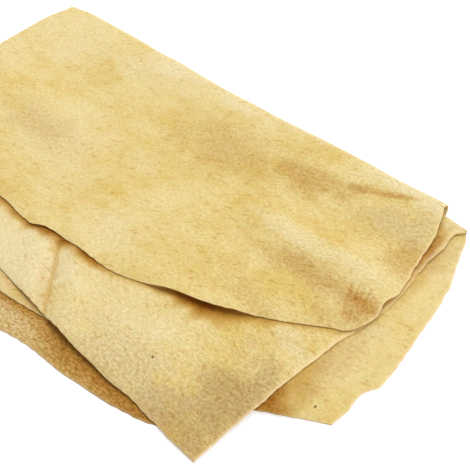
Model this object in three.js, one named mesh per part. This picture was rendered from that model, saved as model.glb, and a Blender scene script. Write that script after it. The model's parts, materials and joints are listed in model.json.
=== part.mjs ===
// A chamois leather folded in quarters and laid flat: four leaves, one above the other, joined by soft bends.
// Millimetres, +Z up. The two fold lines meet at the closed corner, and the leaves reach to +X and -Y from it.
import * as THREE from "three";

// Skin
const skinThickness = 1.2;

// Clear space between leaves that lie on each other, and between a leaf and the bend that carries it on
const layerGap = 0.4;
const splitGap = 0.3;

// Bends, measured to the middle of the skin
const sideBendRadius = 2.2;
const innerSpineRadius = 2.4;

// How far from a fold the leaves take to close up, and how far past the leaf below a leaf takes to sink
const settleLength = 60;
const sinkLength = 30;

// Fold lines, from the closed corner to the cut edge
const outerSpineLength = 360;
const innerSpineLength = 375;
const upperSideLength = 185;
const lowerSideLength = 228;

// Free tips of the leaves: reach along the spine and depth along the side
const topTipReach = 374;
const topTipDepth = 112;
const secondTipReach = 358;
const secondTipDepth = 240;
const thirdTipReach = 399;
const thirdTipDepth = 172;
const bottomTipReach = 350;
const bottomTipDepth = 226;

// Soft lifts where a leaf stands off the one below: centre, spread and height
const topLift = { reach: 292, depth: 165, spread: 45, height: 3 };
const secondLift = { reach: 300, depth: 170, spread: 55, height: 2 };
const thirdLift = { reach: 385, depth: 100, spread: 50, height: 2 };

// Mesh steps
const leafColumns = 26;
const leafRows = 20;
const bendSteps = 12;
const edgeSteps = 24;

// Cut edges: each swell is the share of the way to the tip, and how far the edge stands out of a straight line
const leafPlan = {
  bottom: {
    spine: outerSpineLength,
    side: lowerSideLength,
    reach: bottomTipReach,
    depth: bottomTipDepth,
    lower: [[0.3, 13], [0.6, 23], [0.82, 15], [0.94, 8]],
    right: [[0.3, 8], [0.6, 10]],
  },
  third: {
    spine: innerSpineLength,
    side: lowerSideLength,
    reach: thirdTipReach,
    depth: thirdTipDepth,
    lower: [[0.25, 15], [0.5, 29], [0.7, 27], [0.9, 16], [0.96, 5]],
    right: [[0.04, 5], [0.28, 13], [0.52, 14.5], [0.74, 13], [0.83, 6]],
  },
  second: {
    spine: innerSpineLength,
    side: upperSideLength,
    reach: secondTipReach,
    depth: secondTipDepth,
    lower: [[0.25, 5], [0.5, 8.5], [0.65, 8], [0.8, 6]],
    right: [[0.16, 3], [0.44, 5.5], [0.69, 1]],
  },
  top: {
    spine: outerSpineLength,
    side: upperSideLength,
    reach: topTipReach,
    depth: topTipDepth,
    lower: [[0.2, 10], [0.43, 30], [0.53, 32], [0.63, 37], [0.79, 32], [0.9, 21], [0.96, 11]],
    right: [[0.17, 4.5], [0.45, 6.7], [0.75, 5.5]],
  },
};

// Heights of the middle of the skin at the folds, and of the lines that the leaves turn about
const half = skinThickness / 2;
const outerSpineRadius = innerSpineRadius + 2 * sideBendRadius;
const lowerSideAxis = half + sideBendRadius;
const spineAxis = half + 2 * sideBendRadius + innerSpineRadius;
const upperSideAxis = spineAxis + innerSpineRadius + sideBendRadius;

const layers = ["bottom", "third", "second", "top"];
const foldGap = [2 * sideBendRadius, 2 * innerSpineRadius, 2 * sideBendRadius];
const lifts = [thirdLift, secondLift, topLift];

const { clamp, lerp, smoothstep } = THREE.MathUtils;

// Smooth line through swells, with nothing standing out at its two ends
function swellAt(swells, share) {
  const knots = [[0, 0], ...swells, [1, 0]];
  const slope = (i) => {
    const before = knots[Math.max(i - 1, 0)];
    const after = knots[Math.min(i + 1, knots.length - 1)];
    return (after[1] - before[1]) / (after[0] - before[0]);
  };
  const last = knots.length - 2;
  const i = Math.min(knots.findLastIndex((knot) => knot[0] <= share), last);
  const [start, from] = knots[i];
  const [end, to] = knots[i + 1];
  const step = end - start;
  const t = (share - start) / step;
  const bend = (1 - t) * slope(i) * step - t * slope(i + 1) * step;
  return lerp(from, to, t * t * (3 - 2 * t)) + t * (1 - t) * bend;
}

// Depth of a leaf's lower cut edge at a place along the spine, and reach of its right cut edge at a depth
function lowerEdge(plan, reach) {
  const share = clamp(reach / plan.reach, 0, 1);
  return lerp(plan.side, plan.depth, share) + swellAt(plan.lower, share);
}

function rightEdge(plan, depth) {
  const share = clamp(depth / plan.depth, 0, 1);
  return lerp(plan.spine, plan.reach, share) + swellAt(plan.right, share);
}

// Place on a leaf, filled in smoothly between its two fold lines and its two cut edges
function placeOnLeaf(plan, u, v) {
  const x = lerp(splitGap, plan.reach, u);
  const depth = lerp(splitGap, plan.depth, v);
  const alongSpine = [lerp(splitGap, plan.spine, u), splitGap];
  const alongLower = [x, lowerEdge(plan, x)];
  const alongSide = [splitGap, lerp(splitGap, plan.side, v)];
  const alongRight = [rightEdge(plan, depth), depth];
  const corners = [
    [lerp(splitGap, plan.spine, u), lerp(splitGap, plan.reach, u)],
    [splitGap, lerp(plan.side, plan.depth, u)],
  ];
  return [0, 1].map((axis) =>
    lerp(alongSpine[axis], alongLower[axis], v)
    + lerp(alongSide[axis], alongRight[axis], u)
    - lerp(corners[axis][0], corners[axis][1], v));
}

// 1 on a fold line, falling to 0 away from it
function nearFold(distance) {
  return 1 / (1 + (distance / settleLength) ** 2) ** 2;
}

// 1 over a leaf, falling to 0 where the leaf above has sunk past its cut edges
function overLeaf(plan, reach, depth) {
  const past = Math.max(reach - rightEdge(plan, depth), depth - lowerEdge(plan, reach));
  return 1 - smoothstep(past, 0, sinkLength);
}

// Height of the middle of a leaf: the leaves below it, wider apart near the folds and at the lifts
function leafHeight(level, reach, depth) {
  const near = 1 - (1 - nearFold(reach)) * (1 - nearFold(depth));
  let height = half;
  for (let i = 0; i < level; i += 1) {
    const lift = lifts[i];
    const away = Math.hypot(reach - lift.reach, depth - lift.depth) / lift.spread;
    const standOff = lift.height * Math.exp(-away * away) * (1 - near);
    const gap = lerp(skinThickness + layerGap, foldGap[i], near) + standOff;
    const carried = 1 - (1 - overLeaf(leafPlan[layers[i]], reach, depth)) * (1 - near);
    height += gap * carried;
  }
  return height;
}

// Closed skin of even thickness about a surface given by its middle
function skinOver(middle, columns, rows) {
  const front = [];
  const back = [];
  const step = 1e-3;
  const span = (a, b) => middle(...b).sub(middle(...a));
  for (let row = 0; row <= rows; row += 1) {
    for (let column = 0; column <= columns; column += 1) {
      const u = column / columns;
      const v = row / rows;
      const across = span([Math.max(u - step, 0), v], [Math.min(u + step, 1), v]);
      const along = span([u, Math.max(v - step, 0)], [u, Math.min(v + step, 1)]);
      const offset = along.cross(across).setLength(half);
      front.push(middle(u, v).add(offset));
      back.push(middle(u, v).sub(offset));
    }
  }
  const triangles = [];
  const quad = (a, b, c, d) => triangles.push(a, b, c, a, c, d);
  const count = front.length;
  const at = (column, row) => row * (columns + 1) + column;
  for (let row = 0; row < rows; row += 1) {
    for (let column = 0; column < columns; column += 1) {
      const cell = [at(column, row), at(column, row + 1), at(column + 1, row + 1), at(column + 1, row)];
      quad(...cell);
      quad(...cell.reverse().map((corner) => corner + count));
    }
  }
  const rim = [];
  for (let column = 0; column < columns; column += 1) rim.push(at(column, 0));
  for (let row = 0; row < rows; row += 1) rim.push(at(columns, row));
  for (let column = columns; column > 0; column -= 1) rim.push(at(column, rows));
  for (let row = rows; row > 0; row -= 1) rim.push(at(0, row));
  rim.forEach((corner, i) => {
    const next = rim[(i + 1) % rim.length];
    quad(corner, next, next + count, corner + count);
  });
  const geometry = new THREE.BufferGeometry().setFromPoints([...front, ...back]);
  geometry.setIndex(triangles);
  geometry.computeVertexNormals();
  return geometry;
}

// Leaf that lies on the ones below it
function drapedLeaf(level) {
  const plan = leafPlan[layers[level]];
  const middle = (u, v) => {
    const [reach, depth] = placeOnLeaf(plan, u, v);
    return new THREE.Vector3(reach, -depth, leafHeight(level, reach, depth));
  };
  return skinOver(middle, leafColumns, leafRows);
}

// Leaf that lies flat on the table
function flatLeaf(plan) {
  const outline = new THREE.Shape();
  outline.moveTo(splitGap, -splitGap);
  for (let i = 0; i <= edgeSteps; i += 1) {
    const depth = lerp(splitGap, plan.depth, i / edgeSteps);
    outline.lineTo(rightEdge(plan, depth), -depth);
  }
  for (let i = edgeSteps - 1; i >= 0; i -= 1) {
    const reach = lerp(splitGap, plan.reach, i / edgeSteps);
    outline.lineTo(reach, -lowerEdge(plan, reach));
  }
  return new THREE.ExtrudeGeometry(outline, { depth: skinThickness, bevelEnabled: false });
}

// Half turn from the lower leaf of a bend, -90 degrees, to its upper leaf, +90 degrees
function halfTurn(share) {
  return Math.PI * (share - 0.5);
}

// Bend along the side fold, which bulges to -X
function sideBend(axisHeight, length) {
  const middle = (u, v) => {
    const turn = halfTurn(u);
    const x = -sideBendRadius * Math.cos(turn);
    return new THREE.Vector3(x, -lerp(splitGap, length, v), axisHeight + sideBendRadius * Math.sin(turn));
  };
  return skinOver(middle, bendSteps, 1);
}

// Bend along the spine, which bulges to +Y
function spineBend(radius, length) {
  const middle = (u, v) => {
    const turn = halfTurn(v);
    const x = lerp(splitGap, length, u);
    return new THREE.Vector3(x, radius * Math.cos(turn), spineAxis + radius * Math.sin(turn));
  };
  return skinOver(middle, 1, bendSteps);
}

// Closed corner: the side bend swept half a turn about the spine's line
function cornerBend() {
  const middle = (u, v) => {
    const aroundSide = halfTurn(u);
    const aroundSpine = halfTurn(v);
    const fromSpine = innerSpineRadius + sideBendRadius * (1 + Math.sin(aroundSide));
    const y = fromSpine * Math.cos(aroundSpine);
    const z = spineAxis + fromSpine * Math.sin(aroundSpine);
    return new THREE.Vector3(-sideBendRadius * Math.cos(aroundSide), y, z);
  };
  return skinOver(middle, bendSteps, bendSteps);
}

// Pale, dry chamois, a little browner on the leaves underneath
const paleSkin = new THREE.MeshStandardMaterial({ color: 0xe3c48a, roughness: 0.95, metalness: 0 });
const brownSkin = new THREE.MeshStandardMaterial({ color: 0xcfa766, roughness: 0.95, metalness: 0 });

const pieces = [
  ["bottom_leaf", flatLeaf(leafPlan.bottom), brownSkin],
  ["third_leaf", drapedLeaf(1), paleSkin],
  ["second_leaf", drapedLeaf(2), paleSkin],
  ["top_leaf", drapedLeaf(3), paleSkin],
  ["lower_side_fold", sideBend(lowerSideAxis, lowerSideLength), brownSkin],
  ["upper_side_fold", sideBend(upperSideAxis, upperSideLength), paleSkin],
  ["inner_spine_fold", spineBend(innerSpineRadius, innerSpineLength), paleSkin],
  ["outer_spine_fold", spineBend(outerSpineRadius, outerSpineLength), paleSkin],
  ["corner_fold", cornerBend(), paleSkin],
];

const chamois = new THREE.Group();
for (const [name, geometry, material] of pieces) {
  const piece = new THREE.Mesh(geometry, material);
  piece.name = name;
  chamois.add(piece);
}

// Origin on the table, under the middle of the folded skin
const extent = new THREE.Box3().setFromObject(chamois);
const middleOfSkin = extent.getCenter(new THREE.Vector3());
chamois.position.set(-middleOfSkin.x, -middleOfSkin.y, -extent.min.z);

export default chamois;
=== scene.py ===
# A chamois leather folded in quarters, lying on a white floor under soft light.
# Metres, +Z up. Reach runs along the spine fold from the closed corner, and depth along the side fold.
import json
import math

import bpy
import numpy as np
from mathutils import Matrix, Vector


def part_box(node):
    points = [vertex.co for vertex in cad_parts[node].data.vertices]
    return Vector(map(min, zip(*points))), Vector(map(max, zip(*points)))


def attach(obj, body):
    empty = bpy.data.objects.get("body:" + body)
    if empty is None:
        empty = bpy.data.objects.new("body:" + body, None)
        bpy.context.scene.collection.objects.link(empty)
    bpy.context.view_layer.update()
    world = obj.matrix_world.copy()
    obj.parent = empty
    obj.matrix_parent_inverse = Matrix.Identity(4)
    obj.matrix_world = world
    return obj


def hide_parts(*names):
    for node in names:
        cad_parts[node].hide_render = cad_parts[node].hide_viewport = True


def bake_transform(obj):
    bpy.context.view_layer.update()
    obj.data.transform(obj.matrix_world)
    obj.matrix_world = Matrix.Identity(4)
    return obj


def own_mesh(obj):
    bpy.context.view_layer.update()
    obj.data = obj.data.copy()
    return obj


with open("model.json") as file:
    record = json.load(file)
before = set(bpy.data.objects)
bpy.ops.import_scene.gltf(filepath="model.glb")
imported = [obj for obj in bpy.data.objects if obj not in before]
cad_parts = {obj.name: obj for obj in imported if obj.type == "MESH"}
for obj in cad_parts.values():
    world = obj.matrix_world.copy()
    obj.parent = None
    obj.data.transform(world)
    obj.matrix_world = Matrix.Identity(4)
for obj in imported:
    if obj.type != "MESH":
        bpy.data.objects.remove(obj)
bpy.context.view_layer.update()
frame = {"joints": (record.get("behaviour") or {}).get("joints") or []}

MM = 0.001

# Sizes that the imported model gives
joints = {joint["name"]: joint for joint in frame["joints"]}
CORNER_X = joints["lower_side_turn"]["pos_m"][0]
CORNER_Y = joints["spine_turn"]["pos_m"][1]
LOWER_SIDE_AXIS = joints["lower_side_turn"]["pos_m"][2]
SPINE_AXIS = joints["spine_turn"]["pos_m"][2]
UPPER_SIDE_AXIS = joints["upper_side_turn"]["pos_m"][2]
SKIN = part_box("bottom_leaf")[1].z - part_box("bottom_leaf")[0].z
HALF = SKIN / 2
SIDE_RADIUS = LOWER_SIDE_AXIS - HALF
INNER_RADIUS = SPINE_AXIS - HALF - 2 * SIDE_RADIUS
OUTER_RADIUS = INNER_RADIUS + 2 * SIDE_RADIUS
OUTER_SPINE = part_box("outer_spine_fold")[1].x - CORNER_X
INNER_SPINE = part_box("inner_spine_fold")[1].x - CORNER_X
UPPER_SIDE = CORNER_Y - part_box("upper_side_fold")[0].y
LOWER_SIDE = CORNER_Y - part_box("lower_side_fold")[0].y
SIDE_WIDTH = math.pi * SIDE_RADIUS
SPINE_WIDTH = math.pi * (INNER_RADIUS + OUTER_RADIUS) / 2

# How leaves lie on each other
LAYER_PITCH = SKIN + 0.1 * MM
SLACK = 0.6 * MM
SLACK_SWELL = 0.3
SLACK_WAVES = 75 * MM
PUCKER = 0.07 * MM
PUCKER_WAVES = 22 * MM
SETTLE = 60 * MM
SINK = 30 * MM
FOLD_MARGIN = 12 * MM

# Cut edges: how they settle, thin and round off, and how unevenly they run, in fine and in coarse waves
EDGE_SETTLE = 12 * MM
EDGE_TAPER = 3 * MM
EDGE_THINNING = 0.45
EDGE_ROUNDING = 0.7
SMOOTH_UP_TO = math.radians(80)
FINE_RAG = 0.16 * MM
FINE_WAVES = 5 * MM
COARSE_RAG = 0.26 * MM
COARSE_WAVES = 16 * MM
RAG_RISE = 15

# Width in mm of the paler band, a painted highlight, along each leaf's right cut edge, and the depth where it
# ends
RIM_HIGHLIGHT = {"bottom": 0.8, "third": 0.8, "second": 2.2, "top": 1}
RIM_HIGHLIGHT_END = 165 * MM
RIM_HIGHLIGHT_FADE = 12

# Cut edges, pale from bare leather and painted highlight: how pale a lower one is, what painted shade takes
# of that on its rim, how much painted shade its rim and underside get, and the underside of any cut edge
LOWER_BARE_AND_LIT = 0.6
RIM_SHADE = 0.5
RIM_PAINTED_SHADE = 0.9
UNDERSIDE_PAINTED_SHADE = 0.55
CUT_UNDERSIDE_PAINTED_SHADE = 0.2

# How folds lie: share of a round fold that a pressed one stands out, and the ripples along it
SIDE_BULGE = 0.6
INNER_BULGE = 0.5
SIDE_RIPPLE = 0.3 * MM
SIDE_RIPPLE_WAVES = 40 * MM
SPINE_RIPPLE = 0.4 * MM
SPINE_RIPPLE_WAVES = 45 * MM
RIPPLE_RISE = 40 * MM

# Free end of the spine: where leaves settle sooner, and where the inner fold is pinched and drawn in and out
SOONER_FROM = 270 * MM
SOONER_RUN = 100 * MM
SOONER_SHARE = 0.55
PINCH_FROM = 310 * MM
PINCHED_GAP = 2.2 * MM
END_FROM = 330 * MM
END_RUN = 50 * MM
END_IN = 5 * MM
END_IN_DEPTH = 30 * MM
END_OUT = 7 * MM
END_OUT_DEPTH = {"third": 14 * MM, "second": 4 * MM}

# Where the spine is drawn in: reach of the middle, spread and how far, in mm, and the depth it fades over
SPINE_SAGS = [(185, 80, 5.2), (78, 45, 1.5), (322, 26, 1.4)]
SAG_DEPTH = 60 * MM

# The closed corner: how it is rounded, and how far in mm each leaf reaches into it
CORNER_PULL_REACH = 4 * MM
CORNER_PULL_DEPTH = 4.6 * MM
CORNER_PULL_SPREAD = 15 * MM
CORNER_TUCK = {"bottom": 4.8, "third": 0, "second": 4, "top": 0}
CORNER_TUCK_SPREAD = 9 * MM

# Mesh steps
LEAF_COLUMNS = 250
LEAF_ROWS = 170
BEND_STEPS = 22
BEND_LENGTH_STEPS = 200

# Uneven swells: number of waves, their lengths as shares of the one asked for, and seeds
SWELL_WAVES = 9
SWELL_LENGTHS = (0.7, 1.5)
SEEDS = {"lower": 11, "right": 21, "slack": 31, "pucker": 41, "side": 51, "spine": 61, "stain": 71}

LEAVES = ["bottom", "third", "second", "top"]

# Cut edges: share of the way to the tip, and how far the edge stands out of a straight line there, in mm
PLAN = {
    "bottom": {
        "spine": OUTER_SPINE, "side": LOWER_SIDE, "reach": 350 * MM, "depth": 226 * MM,
        "lower": [(0.3, 13), (0.6, 22), (0.645, 19.6), (0.7, 19.2), (0.74, 19.5), (0.82, 17.1), (0.85, 16.2),
                  (0.93, 9.7)],
        "right": [(0.3, 8), (0.6, 10)],
    },
    "third": {
        "spine": INNER_SPINE, "side": LOWER_SIDE, "reach": 398.6 * MM, "depth": 172 * MM,
        "lower": [(0.25, 15), (0.5, 29), (0.7, 27), (0.9, 17), (0.96, 6)],
        "right": [(0.06, 5), (0.2, 12.4), (0.35, 14.4), (0.52, 13.9), (0.66, 13.2), (0.73, 12.6),
                  (0.785, 10.8), (0.83, 5.2), (0.93, 3.2)],
    },
    "second": {
        "spine": INNER_SPINE, "side": UPPER_SIDE, "reach": 357 * MM, "depth": 238.8 * MM,
        "lower": [(0.25, 5), (0.5, 7.6), (0.6, 7.2), (0.65, 7.1), (0.7, 6.9), (0.75, 6), (0.8, 4.7),
                  (0.84, 2.7), (0.89, 1.8), (0.95, 1.2)],
        "right": [(0.06, 1.6), (0.18, 3), (0.3, 7.5), (0.37, 8.6), (0.45, 6.5), (0.54, 3.6), (0.67, 1.6),
                  (0.8, 0.6), (0.9, 0.1)],
    },
    "top": {
        "spine": OUTER_SPINE, "side": UPPER_SIDE, "reach": 374 * MM, "depth": 107 * MM,
        "lower": [(0.2, 10), (0.34, 19.5), (0.41, 27.9), (0.432, 30.1), (0.445, 28.4), (0.47, 28.4),
                  (0.53, 32.5), (0.625, 39), (0.68, 37.2), (0.72, 35.1), (0.78, 33.9), (0.815, 32.3),
                  (0.834, 29.8), (0.89, 23), (0.965, 12), (0.985, 9.5), (0.994, 5.5)],
        "right": [(0.04, 1.5), (0.22, 4.6), (0.42, 4.9), (0.645, 6.2), (0.72, 5.9), (0.78, 3.2), (0.83, 2.8),
                  (0.88, 3.4), (0.94, 2)],
    },
}

# Soft ridges of a leaf off the one below: from reach and depth, to reach and depth, spread and height, in mm
RIDGES = {
    "third": [(385, 100, 385, 100, 50, 1.5), (290, 74, 384, 68, 18, 1.2)],
    "second": [(300, 170, 300, 170, 55, 1.2), (238, 236, 320, 244, 17, 2.4), (378, 20, 378, 40, 8, 0.8),
               (174, 186, 214, 234, 10, 1.5), (199, 176, 240, 224, 10, 1.5)],
    "top": [(275, 80, 356, 75.5, 13, 2.5), (268, 170, 310, 155, 11, 2.9), (166, 184, 172, 181, 10, 0.7),
            (373, 90, 373, 84, 5, 0.9)],
}

# Sharp creases in a leaf: from reach and depth, to reach and depth, width and fall, in mm
CREASES = {
    "second": [(186, 180, 226, 230, 4, 1.2), (331, 146, 343, 149, 2, 0.3), (346, 145, 361, 143, 2, 0.3)],
    "top": [(292, 26, 312, 19, 4, 0.3), (312, 19, 342, 5, 3, 0.4), (351, 88, 355, 98, 1.5, 0.8),
            (355, 87, 359, 97, 1.5, 1), (359, 86, 362, 95, 1.5, 0.8), (363, 86, 365, 94, 1.5, 0.7),
            (356, 103, 360, 110, 1.5, 0.7), (361, 102, 364, 108, 1.5, 0.7)],
}

# Painted shade, brown, beside the edges of the leaves above where a leaf tucks under one: leaf above,
# its edge, and places along that edge, each with its reach or depth, spread in mm and strength
SHADE_BESIDE_EDGES = {
    "bottom": [("third", "lower", [(0, 5, 0.42), (400, 5, 0.42)]),
               ("second", "lower", [(170, 6, 0.2), (215, 7, 0.35), (250, 10, 0.5), (300, 12, 0.55),
                                    (358, 9, 0.45)])],
    "third": [("second", "lower", [(0, 4, 0.25), (400, 4, 0.25)]),
              ("second", "right", [(12, 8, 0.1), (32, 10, 0.3), (60, 7, 0.2), (90, 3, 0.1), (130, 4, 0.12),
                                   (160, 11, 0.35), (195, 20, 0.65)])],
    "second": [("top", "lower", [(0, 4.5, 0.65), (155, 4.5, 0.7), (170, 5.5, 0.9), (190, 6, 0.9),
                                 (197, 4, 0.6), (206, 4.2, 1), (216, 4, 0.9), (226, 3, 0.5), (240, 2.5, 0.3),
                                 (258, 3, 0.5), (274, 5, 0.9), (292, 9, 1), (306, 9, 0.8), (322, 7, 0.55),
                                 (335, 4, 0.35), (374, 3, 0.35)]),
               ("top", "right", [(0, 4, 0.2), (18, 7, 0.35), (30, 9, 0.48), (70, 5.5, 0.38), (80, 4.5, 0.5),
                                 (107, 4, 0.6)])],
}
# How unevenly the painted shade beside edges spreads, and over what waves
SHADE_SWELL = 0.2
SHADE_WAVES = 14 * MM


def ease(share):
    """A share from 0 to 1, eased at both ends."""
    t = np.clip(share, 0, 1)
    return t * t * (3 - 2 * t)


def bell(distance, spread):
    """1 at no distance, falling to 0 past the spread."""
    return np.exp(-(distance / spread) ** 2)


def soft_waves(along, across, length, seed):
    """Uneven swell of about -1 to 1, with waves of about one length."""
    chance = np.random.default_rng(seed)
    swell = 0
    for _ in range(SWELL_WAVES):
        heading, phase = chance.uniform(0, 2 * math.pi, 2)
        wave = length * chance.uniform(*SWELL_LENGTHS)
        run = along * math.cos(heading) + across * math.sin(heading)
        swell = swell + np.cos(run * 2 * math.pi / wave + phase)
    return swell / math.sqrt(SWELL_WAVES)


def from_line(reach, depth, line):
    """Distance in mm from a line given by the reach and depth of its two ends in mm."""
    start, end = np.array(line[:2], float), np.array(line[2:4], float)
    run = end - start
    x, y = reach / MM - start[0], depth / MM - start[1]
    share = np.clip((x * run[0] + y * run[1]) / max(run @ run, 1e-9), 0, 1)
    return np.hypot(x - share * run[0], y - share * run[1])


def swell_at(swells, share):
    """Smooth line through swells given in mm, with nothing standing out at its two ends."""
    knots = np.array([(0, 0), *swells, (1, 0)], float)
    places, heights = knots[:, 0], knots[:, 1] * MM
    slopes = np.gradient(heights, places)
    i = np.clip(np.searchsorted(places, share, side="right") - 1, 0, len(places) - 2)
    step = places[i + 1] - places[i]
    t = (share - places[i]) / step
    curve = t * (1 - t) ** 2 * slopes[i] * step - t * t * (1 - t) * slopes[i + 1] * step
    return heights[i] + (heights[i + 1] - heights[i]) * ease(t) + curve


def ragged(run, share, seed):
    """Small unevenness of a cut edge, none at its two ends."""
    ends = np.clip(share * RAG_RISE, 0, 1) * np.clip((1 - share) * RAG_RISE, 0, 1)
    fine = FINE_RAG * soft_waves(run, 0, FINE_WAVES, seed)
    coarse = COARSE_RAG * soft_waves(run, 0, COARSE_WAVES, seed + 1)
    return ends * (fine + coarse)


def lower_edge(plan, reach):
    """Depth of a leaf's lower cut edge."""
    share = np.clip(reach / plan["reach"], 0, 1)
    straight = plan["side"] + (plan["depth"] - plan["side"]) * share
    return straight + swell_at(plan["lower"], share) + ragged(reach, share, SEEDS["lower"])


def right_edge(plan, depth):
    """Reach of a leaf's right cut edge."""
    share = np.clip(depth / plan["depth"], 0, 1)
    straight = plan["spine"] + (plan["reach"] - plan["spine"]) * share
    return straight + swell_at(plan["right"], share) + ragged(depth, share, SEEDS["right"])


def near_fold(distance, settle):
    return 1 / (1 + (distance / settle) ** 2) ** 2


def near_folds(reach, depth):
    """1 along the fold lines, falling to 0 away from them, and sooner beside the free end of the spine."""
    settle = SETTLE * (1 - SOONER_SHARE * ease((reach - SOONER_FROM) / SOONER_RUN))
    return 1 - (1 - near_fold(reach, SETTLE)) * (1 - near_fold(depth, settle))


def fold_gaps(reach):
    """Gaps from leaf to leaf along the folds, with the inner fold pinched towards its free end."""
    pinched = ease((reach - PINCH_FROM) / (INNER_SPINE - PINCH_FROM))
    taken = (2 * INNER_RADIUS - PINCHED_GAP) * pinched
    wider = 2 * SIDE_RADIUS + taken / 2
    return [wider, 2 * INNER_RADIUS - taken, wider]


def inside(plan, reach, depth):
    """How far a place lies inside the cut edges of a leaf, less than 0 outside them."""
    return np.minimum(right_edge(plan, depth) - reach, lower_edge(plan, reach) - depth)


def over_leaf(plan, reach, depth):
    """1 over a leaf, falling to 0 where the leaf above has sunk past its cut edges."""
    return 1 - ease(-inside(plan, reach, depth) / SINK)


def tucked(leaf, reach, depth):
    """How much brown shade is painted on a leaf beside the edges of the leaves above it."""
    brown = np.zeros_like(reach)
    uneven = 1 + SHADE_SWELL * soft_waves(reach, depth, SHADE_WAVES, SEEDS["stain"])
    for above, edge, along in SHADE_BESIDE_EDGES.get(leaf, []):
        past_right = reach - right_edge(PLAN[above], depth)
        past_lower = depth - lower_edge(PLAN[above], reach)
        lower = (past_lower, past_right, reach)
        past, beyond, run = lower if edge == "lower" else (past_right, past_lower, depth)
        places, spreads, strengths = np.array(along, float).T
        spread = np.interp(run / MM, places, spreads) * MM * uneven
        fade = np.exp(-(past ** 2 + np.maximum(beyond, 0) ** 2) / spread ** 2)
        brown = np.maximum(brown, np.interp(run / MM, places, strengths) * fade)
    return brown * (1 - bell(depth, FOLD_MARGIN))


def crease_marks(leaf, reach, depth):
    """Each crease of a leaf as 1 along its line, falling off beside it, with its fall."""
    marks = []
    for *line, width, fall in CREASES.get(leaf, []):
        marks.append((np.exp(-from_line(reach, depth, line) / width), fall))
    return marks


def leaf_height(level, reach, depth):
    """Height of the middle of a leaf: the leaves below it, wider apart near the folds and at the ridges."""
    near = near_folds(reach, depth)
    height = np.full_like(reach, HALF)
    for i, fold_gap in enumerate(fold_gaps(reach)[:level]):
        leaf = LEAVES[i + 1]
        loose = 1 - bell(np.maximum(inside(PLAN[leaf], reach, depth), 0), EDGE_SETTLE)
        lift = SLACK * loose * (1 + SLACK_SWELL * soft_waves(reach, depth, SLACK_WAVES, SEEDS["slack"] + i))
        for *line, spread, rise in RIDGES[leaf]:
            lift = lift + rise * MM * bell(from_line(reach, depth, line), spread)
        for mark, fall in crease_marks(leaf, reach, depth):
            lift = lift - fall * MM * mark
        gap = LAYER_PITCH + (fold_gap - LAYER_PITCH) * near + lift * (1 - near)
        carried = 1 - (1 - over_leaf(PLAN[LEAVES[i]], reach, depth)) * (1 - near)
        height = height + gap * carried
    off_folds = (1 - bell(reach, FOLD_MARGIN)) * (1 - bell(depth, FOLD_MARGIN))
    puckers = PUCKER * soft_waves(reach, depth, PUCKER_WAVES, SEEDS["pucker"] + level)
    return height + puckers * off_folds


def leaf_places(plan):
    """Reach and depth of a grid over a leaf, filled in between its two fold lines and its two cut edges."""
    u, v = np.meshgrid(np.linspace(0, 1, LEAF_COLUMNS + 1), np.linspace(0, 1, LEAF_ROWS + 1))
    lower = lower_edge(plan, u * plan["reach"])
    right = right_edge(plan, v * plan["depth"])
    reach = u * right
    depth = v * lower
    return reach, depth


def settle_folds(places, end_depth=None):
    """The folds as they settled: the corner rounded and the spine drawn in, more so the higher the leaf."""
    x, y, z = np.moveaxis(places, -1, 0)
    reach, depth = x - CORNER_X, CORNER_Y - y
    high = np.clip((z - HALF) / (SPINE_AXIS + OUTER_RADIUS - HALF), 0, 1)
    pulled = high * np.exp(-(reach ** 2 + depth ** 2) / CORNER_PULL_SPREAD ** 2)
    drawn_in = sum(draw * bell(reach / MM - middle, spread) for middle, spread, draw in SPINE_SAGS)
    reach_shift = CORNER_PULL_REACH * pulled
    depth_shift = CORNER_PULL_DEPTH * pulled + drawn_in * MM * high * bell(depth, SAG_DEPTH)
    if end_depth:
        end = np.clip((reach - END_FROM) / END_RUN, 0, 1) ** 2
        depth_shift = depth_shift + END_IN * end * bell(depth, END_IN_DEPTH)
        reach_shift = reach_shift + END_OUT * end * bell(depth, end_depth)
    return np.stack([x + reach_shift, y - depth_shift, z], -1)


def skin_faces(grid, rim):
    """Faces of both sides of a skin, and of the rounded rim between them."""
    count = grid.size
    a, b, c, d = [part.ravel() for part in (grid[:-1, :-1], grid[1:, :-1], grid[1:, 1:], grid[:-1, 1:])]
    edge = np.arange(len(rim)) + 2 * count
    after, edge_after = np.roll(rim, -1), np.roll(edge, -1)
    return np.concatenate([
        np.stack([a, b, c, d], 1),
        np.stack([d, c, b, a], 1) + count,
        np.stack([rim, after, edge_after, edge], 1),
        np.stack([edge, edge_after, after + count, rim + count], 1),
    ])


def mark_skin(mesh, grid, rim, free_edges, cut, brown):
    """Marks for the colour: bare cut edges with painted highlight, and painted shade beside or below them."""
    shaded = np.zeros(grid.size)
    if "lower" in free_edges:
        shaded[grid[-1]] = 1
    bare_and_lit_rim = cut * (1 - RIM_SHADE * shaded)
    shade_below = CUT_UNDERSIDE_PAINTED_SHADE * cut + UNDERSIDE_PAINTED_SHADE * shaded
    shade_rim = np.maximum(brown, RIM_PAINTED_SHADE * shaded)
    for mark, values in (("cut_edge", [cut, np.zeros(grid.size), bare_and_lit_rim[rim]]),
                         ("tucked", [brown, shade_below, shade_rim[rim]])):
        attribute = mesh.attributes.new(mark, "FLOAT", "POINT")
        attribute.data.foreach_set("value", np.concatenate(values))


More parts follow.
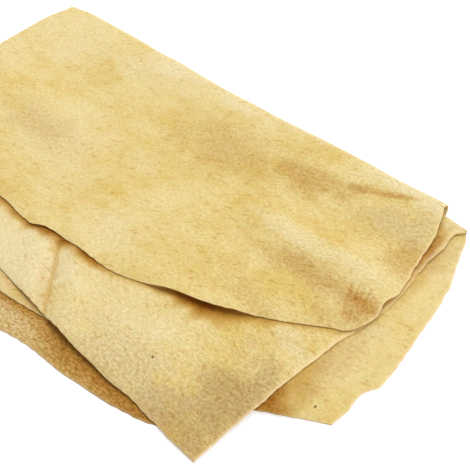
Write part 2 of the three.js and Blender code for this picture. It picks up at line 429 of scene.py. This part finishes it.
def closed_skin(name, middle, flat, free_edges, thickness=1, brown=0, rim_highlight=0):
    """Closed skin about a grid of its middle, with rounded cut edges and a flat-skin UV map."""
    rows, columns = middle.shape[:2]
    across = np.gradient(middle, axis=1)
    along = np.gradient(middle, axis=0)
    normal = np.cross(along, across)
    normal /= np.linalg.norm(normal, axis=2, keepdims=True)
    grid = np.arange(rows * columns).reshape(rows, columns)
    rim = np.concatenate([grid[0, :-1], grid[:-1, -1], grid[-1, :0:-1], grid[:0:-1, 0]])
    outward = np.zeros_like(middle)
    cut = np.zeros((rows, columns))
    if "right" in free_edges:
        outward[:, -1] += across[:, -1] / np.linalg.norm(across[:, -1], axis=1, keepdims=True)
        cut[:, -1] = 1
    if "lower" in free_edges:
        outward[-1] += along[-1] / np.linalg.norm(along[-1], axis=1, keepdims=True)
        cut[-1] = LOWER_BARE_AND_LIT
    cut = np.maximum(cut, rim_highlight).ravel()
    # brown: painted shade beside the edges of the leaves above
    brown = np.broadcast_to(brown, (rows, columns)).ravel()
    half = HALF * np.broadcast_to(thickness, (rows, columns))[..., None]
    front = (middle + normal * half).reshape(-1, 3)
    back = (middle - normal * half).reshape(-1, 3)
    round_edge = (middle + outward * half * EDGE_ROUNDING).reshape(-1, 3)[rim]
    corners = skin_faces(grid, rim)
    mesh = bpy.data.meshes.new(name)
    mesh.from_pydata(np.concatenate([front, back, round_edge]).tolist(), [], corners.tolist())
    flat = flat.reshape(-1, 2)
    places = np.concatenate([flat, flat, flat[rim]])
    layer = mesh.uv_layers.new(name="flat_skin")
    layer.data.foreach_set("uv", places[corners.ravel()].ravel())
    mark_skin(mesh, grid, rim, free_edges, cut, brown)
    piece = bpy.data.objects.new(name, mesh)
    bpy.context.scene.collection.objects.link(piece)
    bpy.ops.object.select_all(action="DESELECT")
    piece.select_set(True)
    bpy.context.view_layer.objects.active = piece
    bpy.ops.object.shade_smooth_by_angle(angle=SMOOTH_UP_TO)
    return piece


def flat_place(leaf, reach, depth):
    """Where a place on a leaf lies when the skin is opened flat."""
    u = reach if leaf in ("bottom", "top") else -(reach + SIDE_WIDTH)
    v = -depth if leaf in ("bottom", "third") else depth + SPINE_WIDTH
    return np.stack([u, v], -1)


def leaf_skin(level):
    """One leaf of the skin, thinner at its cut edges, where it lies on the leaf below."""
    leaf = LEAVES[level]
    plan = PLAN[leaf]
    reach, depth = leaf_places(plan)
    middle = np.stack([CORNER_X + reach, CORNER_Y - depth, leaf_height(level, reach, depth)], -1)
    middle = settle_folds(middle, END_OUT_DEPTH.get(leaf))
    at_corner = np.exp(-(reach / CORNER_TUCK_SPREAD) ** 4 - (depth / CORNER_TUCK_SPREAD) ** 2)
    middle[..., 1] += CORNER_TUCK[leaf] * MM * at_corner
    thickness = 1 - EDGE_THINNING * bell(np.maximum(inside(plan, reach, depth), 0), EDGE_TAPER)
    middle[..., 2] -= HALF * (1 - thickness)
    # Painted highlight along the right cut edge, ending some way down it
    from_right = right_edge(plan, depth) - reach
    rim_highlight = bell(from_right, RIM_HIGHLIGHT[leaf] * MM) / (1 + (depth / RIM_HIGHLIGHT_END) ** RIM_HIGHLIGHT_FADE)
    return closed_skin(leaf + "_leaf_skin", middle, flat_place(leaf, reach, depth), ("right", "lower"),
                       thickness, tucked(leaf, reach, depth), rim_highlight)


def ripple(run, height, waves, seed):
    """Unevenness along a bend, none at the closed corner."""
    return height * soft_waves(run, 0, waves, seed) * np.clip(run / RIPPLE_RISE, 0, 1)


def side_bend(name, axis, length, upper):
    """Bend along the side fold, pressed flatter than round."""
    along, around = np.linspace(0, length, BEND_LENGTH_STEPS + 1), np.linspace(0, 1, BEND_STEPS + 1)
    depth, turn = np.meshgrid(along, around, indexing="ij")
    angle = math.pi * (turn - 0.5)
    stands_out = SIDE_BULGE * SIDE_RADIUS + ripple(depth, SIDE_RIPPLE, SIDE_RIPPLE_WAVES, SEEDS["side"])
    middle = np.stack([CORNER_X - stands_out * np.cos(angle), CORNER_Y - depth,
                       axis + SIDE_RADIUS * np.sin(angle)], -1)
    u = -SIDE_WIDTH * (1 - turn if upper else turn)
    v = depth + SPINE_WIDTH if upper else -depth
    return closed_skin(name, settle_folds(middle), np.stack([u, v], -1), ("lower",))


def spine_bend(name, lower, upper, length, bulge):
    """Bend along the spine fold, from one leaf up to another."""
    around, along = np.linspace(0, 1, BEND_STEPS + 1), np.linspace(0, length, BEND_LENGTH_STEPS + 1)
    turn, reach = np.meshgrid(around, along, indexing="ij")
    angle = math.pi * (turn - 0.5)
    low, high = [leaf_height(LEAVES.index(leaf), reach, np.zeros_like(reach)) for leaf in (lower, upper)]
    radius = (high - low) / 2
    stands_out = bulge * radius + ripple(reach, SPINE_RIPPLE, SPINE_RIPPLE_WAVES, SEEDS["spine"])
    middle = np.stack([CORNER_X + reach, CORNER_Y + stands_out * np.cos(angle),
                       (low + high) / 2 + radius * np.sin(angle)], -1)
    inner = lower == "third"
    u = -(reach + SIDE_WIDTH) if inner else reach
    settled = settle_folds(middle, END_OUT_DEPTH["second"] if inner else None)
    return closed_skin(name, settled, np.stack([u, SPINE_WIDTH * turn], -1), ("right",))


def corner_bend():
    """Closed corner where all the bends run together."""
    steps = np.linspace(0, 1, BEND_STEPS + 1)
    turn, side = np.meshgrid(steps, steps, indexing="ij")
    around_spine = math.pi * (turn - 0.5)
    around_side = math.pi * (side - 0.5)
    from_spine = INNER_RADIUS + SIDE_RADIUS * (1 + np.sin(around_side))
    bulge = INNER_BULGE + (1 - INNER_BULGE) * side
    middle = np.stack([CORNER_X - SIDE_BULGE * SIDE_RADIUS * np.cos(around_side),
                       CORNER_Y + bulge * from_spine * np.cos(around_spine),
                       SPINE_AXIS + from_spine * np.sin(around_spine)], -1)
    flat = np.stack([-SIDE_WIDTH * (1 - side), SPINE_WIDTH * turn], -1)
    return closed_skin("corner_bend", settle_folds(middle), flat, ())


# Shader parts
def wire(tree, socket, value):
    if isinstance(value, bpy.types.NodeSocket):
        tree.links.new(value, socket)
    else:
        socket.default_value = value


def calc(tree, operation, *values):
    made = tree.nodes.new("ShaderNodeMath")
    made.operation = operation
    for socket, value in zip(made.inputs, values):
        wire(tree, socket, value)
    return made.outputs[0]


def vector_calc(tree, operation, *values):
    made = tree.nodes.new("ShaderNodeVectorMath")
    made.operation = operation
    sockets = [socket for socket in made.inputs if socket.enabled]
    for socket, value in zip(sockets, values):
        wire(tree, socket, value)
    return next(socket for socket in made.outputs if socket.enabled)


def times(tree, first, second):
    return calc(tree, "MULTIPLY", first, second)


def plus(tree, first, second):
    return calc(tree, "ADD", first, second)


def remap(tree, value, low, high, to_low=0, to_high=1):
    """A range of values eased into another range."""
    made = tree.nodes.new("ShaderNodeMapRange")
    made.interpolation_type = "SMOOTHSTEP"
    for socket, given in zip(made.inputs, (value, low, high, to_low, to_high)):
        wire(tree, socket, given)
    return made.outputs[0]


def mix_colour(tree, share, first, second, blend="MIX"):
    made = tree.nodes.new("ShaderNodeMix")
    made.data_type = "RGBA"
    made.blend_type = blend
    wire(tree, made.inputs["Factor"], share)
    for key, value in (("A", first), ("B", second)):
        socket = next(s for s in made.inputs if s.name == key and s.type == "RGBA")
        wire(tree, socket, value)
    return next(s for s in made.outputs if s.type == "RGBA")


def noise(tree, place, scale, detail, roughness=0.5):
    made = tree.nodes.new("ShaderNodeTexNoise")
    wire(tree, made.inputs["Vector"], place)
    made.inputs["Scale"].default_value = scale
    made.inputs["Detail"].default_value = detail
    made.inputs["Roughness"].default_value = roughness
    return made.outputs["Fac"]


def new_group(name, inputs, outputs):
    group = bpy.data.node_groups.new(name, "ShaderNodeTree")
    for key, kind in inputs:
        group.interface.new_socket(key, in_out="INPUT", socket_type="NodeSocket" + kind)
    for key, kind in outputs:
        group.interface.new_socket(key, in_out="OUTPUT", socket_type="NodeSocket" + kind)
    return group, group.nodes.new("NodeGroupInput").outputs, group.nodes.new("NodeGroupOutput").inputs


def use_group(tree, group, **values):
    made = tree.nodes.new("ShaderNodeGroup")
    made.node_tree = group
    for key, value in values.items():
        wire(tree, made.inputs[key], value)
    return made.outputs


def brushed(tree, place, turn, stretch, kind="POINT"):
    """Places stretched along the skin, so that a pattern laid over them lies in strokes."""
    made = tree.nodes.new("ShaderNodeMapping")
    made.vector_type = kind
    made.inputs["Rotation"].default_value = (0, 0, math.radians(turn))
    made.inputs["Scale"].default_value = (stretch, 1, 1)
    wire(tree, made.inputs["Vector"], place)
    return made.outputs[0]


def make_nap():
    """Short brushed fibres and pebbled grain: a height for the bump and tones for the colour."""
    outputs = [("Height", "Float"), ("Tone", "Float"), ("Pebbles", "Float")]
    group, given, out = new_group("nap", [("Place", "Vector")], outputs)
    place = given["Place"]
    fibres = noise(group, brushed(group, place, turn=8, stretch=0.28), scale=1100, detail=3, roughness=0.65)
    pebbles = noise(group, place, scale=480, detail=3, roughness=0.6)
    grain = noise(group, place, scale=1300, detail=2, roughness=0.6)
    wire(group, out["Height"], plus(group, times(group, fibres, 0.6), times(group, grain, 0.4)))
    tone = plus(group, times(group, fibres, 0.65), times(group, grain, 0.35))
    wire(group, out["Tone"], calc(group, "SUBTRACT", tone, 0.5))
    wire(group, out["Pebbles"], calc(group, "SUBTRACT", pebbles, 0.5))
    return group


def make_blotches():
    """Cloudy patches, 0 pale to 1 dark, a mottled hue, 0 olive to 1 rosy, and sparse dark pits."""
    outputs = [("Share", "Float"), ("Hue", "Float"), ("Pits", "Float")]
    group, given, out = new_group("blotches", [("Place", "Vector")], outputs)
    place = given["Place"]
    strokes = brushed(group, place, turn=12, stretch=0.45)
    clouds = noise(group, place, scale=13, detail=3, roughness=0.55)
    patches = noise(group, strokes, scale=60, detail=4, roughness=0.6)
    flecks = noise(group, strokes, scale=200, detail=4, roughness=0.6)
    dark = plus(group, times(group, clouds, 0.45), times(group, patches, 0.35))
    dark = plus(group, dark, times(group, flecks, 0.2))
    wire(group, out["Share"], remap(group, dark, 0.37, 0.64))
    slanted = brushed(group, place, turn=-26, stretch=2.6, kind="TEXTURE")
    pits = remap(group, noise(group, slanted, scale=400, detail=3, roughness=0.6), 0.54, 0.74)
    wire(group, out["Pits"], times(group, pits, remap(group, dark, 0.40, 0.58, 0.3, 1)))
    hue = noise(group, place, scale=190, detail=4, roughness=0.65)
    wire(group, out["Hue"], remap(group, hue, 0.35, 0.65))
    return group


def make_soft_spot():
    """A long soft spot with a ragged border, 1 in its middle."""
    inputs = [("Place", "Vector"), ("Centre", "Vector"), ("Reach", "Vector"), ("Turn", "Float")]
    group, given, out = new_group("soft_spot", inputs, [("Share", "Float")])
    turned = group.nodes.new("ShaderNodeVectorRotate")
    turned.rotation_type = "Z_AXIS"
    wire(group, turned.inputs["Vector"], vector_calc(group, "SUBTRACT", given["Place"], given["Centre"]))
    wire(group, turned.inputs["Angle"], given["Turn"])
    length = vector_calc(group, "LENGTH", vector_calc(group, "DIVIDE", turned.outputs[0], given["Reach"]))
    border = calc(group, "SUBTRACT", noise(group, given["Place"], scale=60, detail=4, roughness=0.6), 0.5)
    away = plus(group, length, times(group, border, 1.6))
    wire(group, out["Share"], remap(group, away, 0.1, 1.15, 1, 0))
    return group


def make_soft_line():
    """A thin line between two places, 1 along it."""
    inputs = [("Place", "Vector"), ("Start", "Vector"), ("Run", "Vector"), ("Width", "Float")]
    group, given, out = new_group("soft_line", inputs, [("Share", "Float")])
    offset = vector_calc(group, "SUBTRACT", given["Place"], given["Start"])
    along = calc(group, "DIVIDE", vector_calc(group, "DOT_PRODUCT", offset, given["Run"]),
                 vector_calc(group, "DOT_PRODUCT", given["Run"], given["Run"]))
    share = calc(group, "MINIMUM", calc(group, "MAXIMUM", along, 0), 1)
    nearest = vector_calc(group, "SCALE", given["Run"], share)
    away = vector_calc(group, "LENGTH", vector_calc(group, "SUBTRACT", offset, nearest))
    wobble = remap(group, noise(group, given["Place"], scale=180, detail=3), 0.3, 0.7, 0.4, 1.6)
    wire(group, out["Share"], remap(group, times(group, away, wobble), 0, given["Width"], 1, 0))
    return group


NAP = make_nap()
BLOTCHES = make_blotches()
SOFT_SPOT = make_soft_spot()
SOFT_LINE = make_soft_line()

# Patches of each colour, some of them painted highlight and painted shade as noted: leaf, reach and depth of
# the middle, half length and half width in mm, turn in degrees, and strength
PATCHES = {
    "cream": [
        ("second", 180, 205, 75, 55, 0, 0.9),
        ("second", 265, 195, 70, 40, 0, 0.5),
        ("second", 346, 146, 22, 10, -20, 0.5),
        ("second", 378, -2, 25, 12, 0, 0.9),
        ("third", 190, 215, 50, 30, 0, 0.7),
        ("third", 374, 120, 25, 50, 0, 0.4),
        ("third", 384, 28, 16, 30, 0, 0.5),
        ("bottom", 205, 240, 34, 14, 0, 0.5),
        ("top", 30, 30, 70, 60, 0, 0.5),
        ("top", 120, 115, 60, 50, 0, 0.5),
        # Paler along the spine fold, partly painted highlight where the fold faces the light
        ("top", 126, 0, 50, 28, 0, 0.9),
        ("top", 190, 2, 60, 14, 0, 0.7),
        ("top", 190, -6, 220, 10, 0, 0.7),
        ("top", 340, -2, 70, 14, 0, 0.9),
        # Painted highlight on the lit side of the ridge
        ("top", 300, 79, 50, 11, 0, 0.5),
        ("top", 345, 76, 35, 9, 0, 0.5),
        ("top", 205, 155, 32, 22, 0, 0.6),
        ("top", 177, 94, 25, 15, 0, 0.5),
        ("top", 100, 22, 40, 16, 0, 0.6),
        ("top", 139, 14, 40, 14, 0, 0.5),
        ("top", 14, 75, 30, 30, 0, 0.5),
    ],
    "ochre": [
        ("top", 179, 38, 25, 15, 0, 0.5),
        ("top", 206, 81, 25, 15, 0, 0.5),
    ],
    "brown": [
        ("top", 215, 45, 60, 30, 10, 0.35),
        ("top", 100, 112, 38, 22, 0, 0.3),
        ("top", 275, 33, 42, 16, 8, 0.55),
        ("top", 308, 18.5, 17, 4.5, 20, 0.6),
        ("top", 330, 10, 20, 3.5, 24, 0.6),
        # Painted shade in the hollow below the ridge and near the tip
        ("top", 325, 98, 55, 13, 0, 0.6),
        ("top", 364, 97, 19, 12, 0, 0.9),
        ("top", 364, 107, 15, 12, 0, 0.7),
        ("top", 354, 115, 22, 12, 0, 0.3),
        # Painted shade in the valley near the top leaf's right edge
        ("top", 365, 48, 18, 22, 0, 0.5),
        ("top", 315, 140, 40, 12, -20, 0.3),
        # Painted shadow under the top leaf's lip
        ("second", 177, 182, 20, 4, 0, 0.5),
        # Painted shade beside the crease
        ("second", 203, 209, 32, 5, -51, 0.2),
        # Painted shade where the lower edge curls down near the tip
        ("second", 290, 236, 60, 8, 0, 0.4),
        ("second", 328, 233, 40, 12, 0, 0.4),
        # Painted shade in the slot beside the top leaf's right edge, partly a brown stain
        ("second", 371, 32, 8, 34, 0, 0.7),
        # Painted shadow of the second leaf's lifted edge
        ("third", 376, 140, 12, 50, 0, 0.3),
        ("third", 360, 182, 20, 15, 0, 1.0),
        ("bottom", 240, 240, 190, 34, 0, 0.3),
    ],
    "dusty": [
        ("second", 352, 202, 34, 48, 0, 0.9),
        ("second", 340, 226, 45, 22, 0, 0.75),
        # Painted shade in the valley between the spine and the ridge
        ("top", 345, 34, 42, 20, 8, 0.25),
        ("top", 70, 112, 45, 20, 0, 0.2),
    ],
    "grey": [
        # Painted shade darkening towards the lower cut edge
        ("second", 285, 222, 65, 26, 0, 0.6),
        ("second", 345, 165, 26, 22, 0, 0.15),
        # Painted shade in the valley between the spine and the ridge
        ("top", 346, 30, 34, 16, 8, 0.4),
    ],
}

# Dark specks: leaf, reach, depth and half width, in mm
SPECKS = [("second", 295, 206, 0.9), ("third", 385, 169, 1.2)]
SPECK_COLOUR = (0.12, 0.07, 0.02)

# Colours of the leather, and of the leaf underneath where it differs
PALE_COLOURS = {
    "pale": (0.875, 0.745, 0.385),
    "ochre": (0.785, 0.59, 0.19),
    "cream": (0.90, 0.80, 0.52),
    "brown": (0.56, 0.31, 0.075),
    "dusty": (0.55, 0.385, 0.165),
    "grey": (0.70, 0.57, 0.34),
}
UNDER_COLOURS = {
    "pale": (0.79, 0.59, 0.265),
    "ochre": (0.66, 0.46, 0.16),
    "brown": (0.50, 0.29, 0.09),
}
# Colour of cut edges: bare leather, made paler as painted highlight
CUT_LEATHER_AND_HIGHLIGHT = (0.98, 0.77, 0.42)

# How the mottled hue and the nap change a colour
OLIVE_CHANGE = (-0.02, 0.01, -0.06)
ROSY_CHANGE = (0.02, -0.015, -0.01)
DARK_NAP_CHANGE = (-0.2, -0.28, -0.42)
PALE_NAP_CHANGE = (0.1, 0.12, 0.18)

# Shares of red, green and blue that full stains and painted shade leave, and how deep they go: the stain
# of the pits, the painted shade along creases, and the painted shade beside and under the edges of leaves
# above
STAIN_AND_SHADE_LEAVES = (0.52, 0.31, 0.11)
PIT_STAIN = 0.35
CREASE_SHADE = 0.7
SHALLOW_CREASE = 0.1
CREASE_PER_FALL = 0.3
CREASE_SPREAD = 0.9
SHADE_DEPTH = 1.2
SHADE_EDGE_DEPTH = 0.8
SHADE_EDGE_POWER = 5

# How far a cut edge shows bare leather and painted highlight, and what painted shade takes of that
BARE_AND_LIT_CUT = 0.75
BARE_AND_LIT_TAKEN = 0.6

# The leaf underneath: where it turns brown, how brown it is at the folds, and how rough and shaggy it gets
BROWN_FROM = 20 * MM
BROWN_TO = 110 * MM
BROWN_AT_FOLDS = 0.2
UNDER_FUZZ = (0.7, 3.5)
UNDER_SHAG = 1.5

# How coarse the nap is from near the side fold to far from it, and its share below the spine
NAP_FROM = 140 * MM
NAP_TO = 360 * MM
NAP_COARSE = (2.4, 4)
NAP_BELOW_SPINE = 0.6
SPINE_BLEND = 20 * MM
STAIN_AND_SHADE_PEBBLES = 3
PLAIN_PEBBLES = 0.75
NAP_BUMP = 0.5
NAP_HEIGHT = 0.5 * MM


def spot_share(tree, place, patch):
    """Share of one patch at a place on the flat skin."""
    leaf, reach, depth, half_length, half_width, turn, strength = patch
    u, v = flat_place(leaf, np.float64(reach * MM), np.float64(depth * MM))
    turned_over = -1 if leaf in ("bottom", "second") else 1
    spot = use_group(tree, SOFT_SPOT, Place=place, Centre=(u, v, 0),
                     Reach=(half_length * MM, half_width * MM, 1), Turn=turned_over * math.radians(turn))
    return times(tree, spot["Share"], strength)


def patched(tree, place, colour, colours):
    """Leather with its patches of other colours, some painted highlight and shade, and how dark they make it.
    """
    stain_and_shade = 0.0
    for shade_name, patches in PATCHES.items():
        share = 0.0
        for patch in patches:
            share = calc(tree, "MAXIMUM", share, spot_share(tree, place, patch))
        colour = mix_colour(tree, share, colour, colours[shade_name])
        if shade_name not in ("cream", "ochre"):
            stain_and_shade = calc(tree, "MAXIMUM", stain_and_shade, share)
    return colour, stain_and_shade


def crease_shade_lines(tree, place):
    """Painted shade in lines along the creases, stronger where a crease falls more."""
    lines = 0.0
    for leaf, creases in CREASES.items():
        for x0, y0, x1, y1, width, fall in creases:
            start, end = flat_place(leaf, np.array([x0, x1]) * MM, np.array([y0, y1]) * MM)
            line = use_group(tree, SOFT_LINE, Place=place, Start=(*start, 0), Run=(*(end - start), 0),
                             Width=width * CREASE_SPREAD * MM)
            strength = SHALLOW_CREASE + CREASE_PER_FALL * fall
            lines = calc(tree, "MAXIMUM", lines, times(tree, line["Share"], strength))
    return lines


def stained_and_shaded(tree, colour, depth):
    """Leather darkened brown by stains and by painted shade: the blue goes first and the red last."""
    left = tree.nodes.new("ShaderNodeCombineColor")
    for socket, share in zip(left.inputs, STAIN_AND_SHADE_LEAVES):
        wire(tree, socket, calc(tree, "POWER", share, depth))
    return mix_colour(tree, 1.0, colour, left.outputs[0], "MULTIPLY")


def changed(tree, colour, share, low_change, high_change, strength):
    """A colour changed by two changes, mixed by a share."""
    low, high = [(*(1 + change * strength for change in changes), 1) for changes in (low_change, high_change)]
    return mix_colour(tree, 1.0, colour, mix_colour(tree, share, low, high), "MULTIPLY")


def mesh_mark(tree, name):
    """A mark that the mesh of a piece carries."""
    made = tree.nodes.new("ShaderNodeAttribute")
    made.attribute_name = name
    return made.outputs["Fac"]


def away_from_folds(tree, flat_axes):
    """Low along the two fold lines of the bottom leaf, 1 well away from them."""
    along = remap(tree, flat_axes["X"], BROWN_FROM, BROWN_TO)
    across = remap(tree, flat_axes["Y"], -BROWN_TO, -BROWN_FROM, 1, 0)
    return remap(tree, times(tree, along, across), 0, 1, BROWN_AT_FOLDS, 1)


def chamois(name, under=False):
    """Napped leather, pale all over or turning brown and shaggy away from the folds."""
    material = bpy.data.materials.new(name)
    material.use_nodes = True
    tree = material.node_tree
    shader = tree.nodes["Principled BSDF"]
    shader.inputs["Roughness"].default_value = 0.95
    shader.inputs["Specular IOR Level"].default_value = 0.06
    shader.inputs["Sheen Weight"].default_value = 0.05
    shader.inputs["Sheen Roughness"].default_value = 0.6
    shader.inputs["Sheen Tint"].default_value = (1, 0.75, 0.4, 1)
    uv = tree.nodes.new("ShaderNodeUVMap")
    uv.uv_map = "flat_skin"
    place = uv.outputs["UV"]
    separated = tree.nodes.new("ShaderNodeSeparateXYZ")
    wire(tree, separated.inputs[0], place)
    flat_axes = separated.outputs
    colours = {key: (*colour, 1) for key, colour in PALE_COLOURS.items()}
    fuzz, shag = 1, 1
    if under:
        away = away_from_folds(tree, flat_axes)
        for key, brown_colour in UNDER_COLOURS.items():
            colours[key] = mix_colour(tree, away, colours[key], (*brown_colour, 1))
        fuzz, shag = remap(tree, away, 0, 1, *UNDER_FUZZ), UNDER_SHAG
    nap = use_group(tree, NAP, Place=place)
    blotches = use_group(tree, BLOTCHES, Place=place)
    colour = mix_colour(tree, blotches["Share"], colours["pale"], colours["ochre"])
    colour, stain_and_shade = patched(tree, place, colour, colours)
    colour = changed(tree, colour, blotches["Hue"], OLIVE_CHANGE, ROSY_CHANGE, shag)
    # Painted shade along the creases, and the dark pits of the grain
    marks = times(tree, crease_shade_lines(tree, place), CREASE_SHADE)
    marks = plus(tree, marks, times(tree, blotches["Pits"], PIT_STAIN))
    colour = stained_and_shaded(tree, colour, marks)
    for leaf, reach, depth, half_width in SPECKS:
        speck = spot_share(tree, place, (leaf, reach, depth, half_width, half_width, 0, 1))
        colour = mix_colour(tree, speck, colour, (*SPECK_COLOUR, 1))
    # Painted shade beside the edges of the leaves above, deepest at the edge
    shade_share = mesh_mark(tree, "tucked")
    at_edge = times(tree, calc(tree, "POWER", shade_share, SHADE_EDGE_POWER), SHADE_EDGE_DEPTH)
    colour = stained_and_shaded(tree, colour, plus(tree, times(tree, shade_share, SHADE_DEPTH), at_edge))
    rough = remap(tree, calc(tree, "ABSOLUTE", flat_axes["X"]), NAP_FROM, NAP_TO, *NAP_COARSE)
    rough = times(tree, rough, remap(tree, flat_axes["Y"], -SPINE_BLEND, SPINE_BLEND, NAP_BELOW_SPINE, 1))
    rough = times(tree, rough, fuzz)
    pebbled = plus(tree, times(tree, stain_and_shade, STAIN_AND_SHADE_PEBBLES), times(tree, fuzz, PLAIN_PEBBLES))
    tone = plus(tree, times(tree, nap["Tone"], rough), times(tree, nap["Pebbles"], pebbled))
    colour = changed(tree, colour, plus(tree, tone, 0.5), DARK_NAP_CHANGE, PALE_NAP_CHANGE, shag)
    # Cut edges pale with bare leather and painted highlight, less so under painted shade
    bare_and_lit = calc(tree, "SUBTRACT", BARE_AND_LIT_CUT, times(tree, shade_share, BARE_AND_LIT_TAKEN))
    cut = times(tree, mesh_mark(tree, "cut_edge"), bare_and_lit)
    colour = mix_colour(tree, cut, colour, (*CUT_LEATHER_AND_HIGHLIGHT, 1))
    wire(tree, shader.inputs["Base Color"], colour)
    bump = tree.nodes.new("ShaderNodeBump")
    bump.inputs["Strength"].default_value = NAP_BUMP
    bump.inputs["Distance"].default_value = NAP_HEIGHT * shag
    wire(tree, bump.inputs["Height"], nap["Height"])
    wire(tree, shader.inputs["Normal"], bump.outputs[0])
    return material


pale_skin = chamois("pale_chamois")
under_skin = chamois("brown_chamois", under=True)

bottom_leaf = leaf_skin(0)
third_leaf = leaf_skin(1)
second_leaf = leaf_skin(2)
top_leaf = leaf_skin(3)
lower_side = side_bend("lower_side_bend", LOWER_SIDE_AXIS, LOWER_SIDE, False)
upper_side = side_bend("upper_side_bend", UPPER_SIDE_AXIS, UPPER_SIDE, True)
inner_spine = spine_bend("inner_spine_bend", "third", "second", INNER_SPINE, INNER_BULGE)
outer_spine = spine_bend("outer_spine_bend", "bottom", "top", OUTER_SPINE, 1)
corner = corner_bend()

model_nodes = [
    (bottom_leaf, "bottom_leaf"),
    (third_leaf, "third_leaf"),
    (second_leaf, "second_leaf"),
    (top_leaf, "top_leaf"),
    (lower_side, "lower_side_fold"),
    (upper_side, "upper_side_fold"),
    (inner_spine, "inner_spine_fold"),
    (outer_spine, "outer_spine_fold"),
    (corner, "corner_fold"),
]
for piece, model_node in model_nodes:
    under = model_node in ("bottom_leaf", "lower_side_fold")
    piece.data.materials.append(under_skin if under else pale_skin)
    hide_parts(model_node)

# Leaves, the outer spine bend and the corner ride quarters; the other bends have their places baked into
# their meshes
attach(bottom_leaf, "bottom_quarter")
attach(third_leaf, "third_quarter")
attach(second_leaf, "second_quarter")
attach(top_leaf, "top_quarter")
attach(outer_spine, "top_quarter")
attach(corner, "third_quarter")
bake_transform(lower_side)
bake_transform(upper_side)
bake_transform(inner_spine)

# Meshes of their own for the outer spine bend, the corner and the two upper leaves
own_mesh(outer_spine)
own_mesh(corner)
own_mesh(top_leaf)
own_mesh(second_leaf)


for piece, leaf, under, bends in [(bottom_leaf, "bottom", "floor", [lower_side]),
                                  (third_leaf, "third", "bottom_leaf_skin", [inner_spine]),
                                  (second_leaf, "second", "third_leaf_skin", [upper_side, corner]),
                                  (top_leaf, "top", "second_leaf_skin", [outer_spine])]:
    reach, depth = leaf_places(PLAN[leaf])


# Floor, light and camera
FLOOR_SIZE = 8
FLOOR_DROP = 0.2 * MM
FLOOR_COLOUR = (0.9, 0.9, 0.9, 1)
FLOOR_GLOW = 0.5
ROOM_COLOUR = (1, 0.94, 0.85, 1)
ROOM_LIGHT = 0.28
LIGHTS_AIM = (0.05, 0, 0)
bpy.ops.object.select_all(action="DESELECT")
bpy.ops.mesh.primitive_plane_add(size=FLOOR_SIZE, location=(0, 0, -FLOOR_DROP))
floor = bpy.context.object
floor.name = "floor"
paper = bpy.data.materials.new("white_floor")
paper.use_nodes = True
paper_shader = paper.node_tree.nodes["Principled BSDF"]
paper_shader.inputs["Base Color"].default_value = FLOOR_COLOUR
paper_shader.inputs["Roughness"].default_value = 1
paper_shader.inputs["Specular IOR Level"].default_value = 0
paper_shader.inputs["Emission Color"].default_value = (1, 1, 1, 1)
rays = paper.node_tree.nodes.new("ShaderNodeLightPath")
wire(paper.node_tree, paper_shader.inputs["Emission Strength"],
     times(paper.node_tree, rays.outputs["Is Camera Ray"], FLOOR_GLOW))
floor.data.materials.append(paper)

world = bpy.context.scene.world or bpy.data.worlds.new("studio")
bpy.context.scene.world = world
world.use_nodes = True
room = world.node_tree.nodes["Background"]
room.inputs["Color"].default_value = ROOM_COLOUR
room.inputs["Strength"].default_value = ROOM_LIGHT


def softbox(name, place, size, energy):
    """Square soft light aimed at the skin."""
    lamp = bpy.data.objects.new(name, bpy.data.lights.new(name, "AREA"))
    lamp.data.size = size
    lamp.data.energy = energy
    lamp.location = place
    aim = np.array(LIGHTS_AIM) - np.array(place)
    flat_run = math.hypot(aim[0], aim[1])
    lamp.rotation_euler = (math.atan2(flat_run, -aim[2]), 0, math.atan2(-aim[0], aim[1]))
    bpy.context.scene.collection.objects.link(lamp)


softbox("key_light", place=(-1.2, 1.5, 2.6), size=2.6, energy=90)
softbox("right_fill", place=(3.0, -0.6, 1.4), size=2, energy=55)

VIEW_AZIMUTH = math.radians(40.88)
VIEW_ELEVATION = math.radians(46.77)
VIEW_ANGLE = math.radians(28)
VIEW_DISTANCE = 617.6 * MM
VIEW_REACH = 264.4 * MM
VIEW_DEPTH = 98.0 * MM
camera = bpy.data.objects.new("camera", bpy.data.cameras.new("camera"))
bpy.context.scene.collection.objects.link(camera)
camera.data.angle = VIEW_ANGLE
level_run = VIEW_DISTANCE * math.cos(VIEW_ELEVATION)
camera.location = (CORNER_X + VIEW_REACH + level_run * math.sin(VIEW_AZIMUTH),
                   CORNER_Y - VIEW_DEPTH - level_run * math.cos(VIEW_AZIMUTH),
                   VIEW_DISTANCE * math.sin(VIEW_ELEVATION))
camera.rotation_euler = (math.pi / 2 - VIEW_ELEVATION, 0, VIEW_AZIMUTH)
bpy.context.scene.camera = camera
bpy.context.scene.view_settings.view_transform = "Standard"
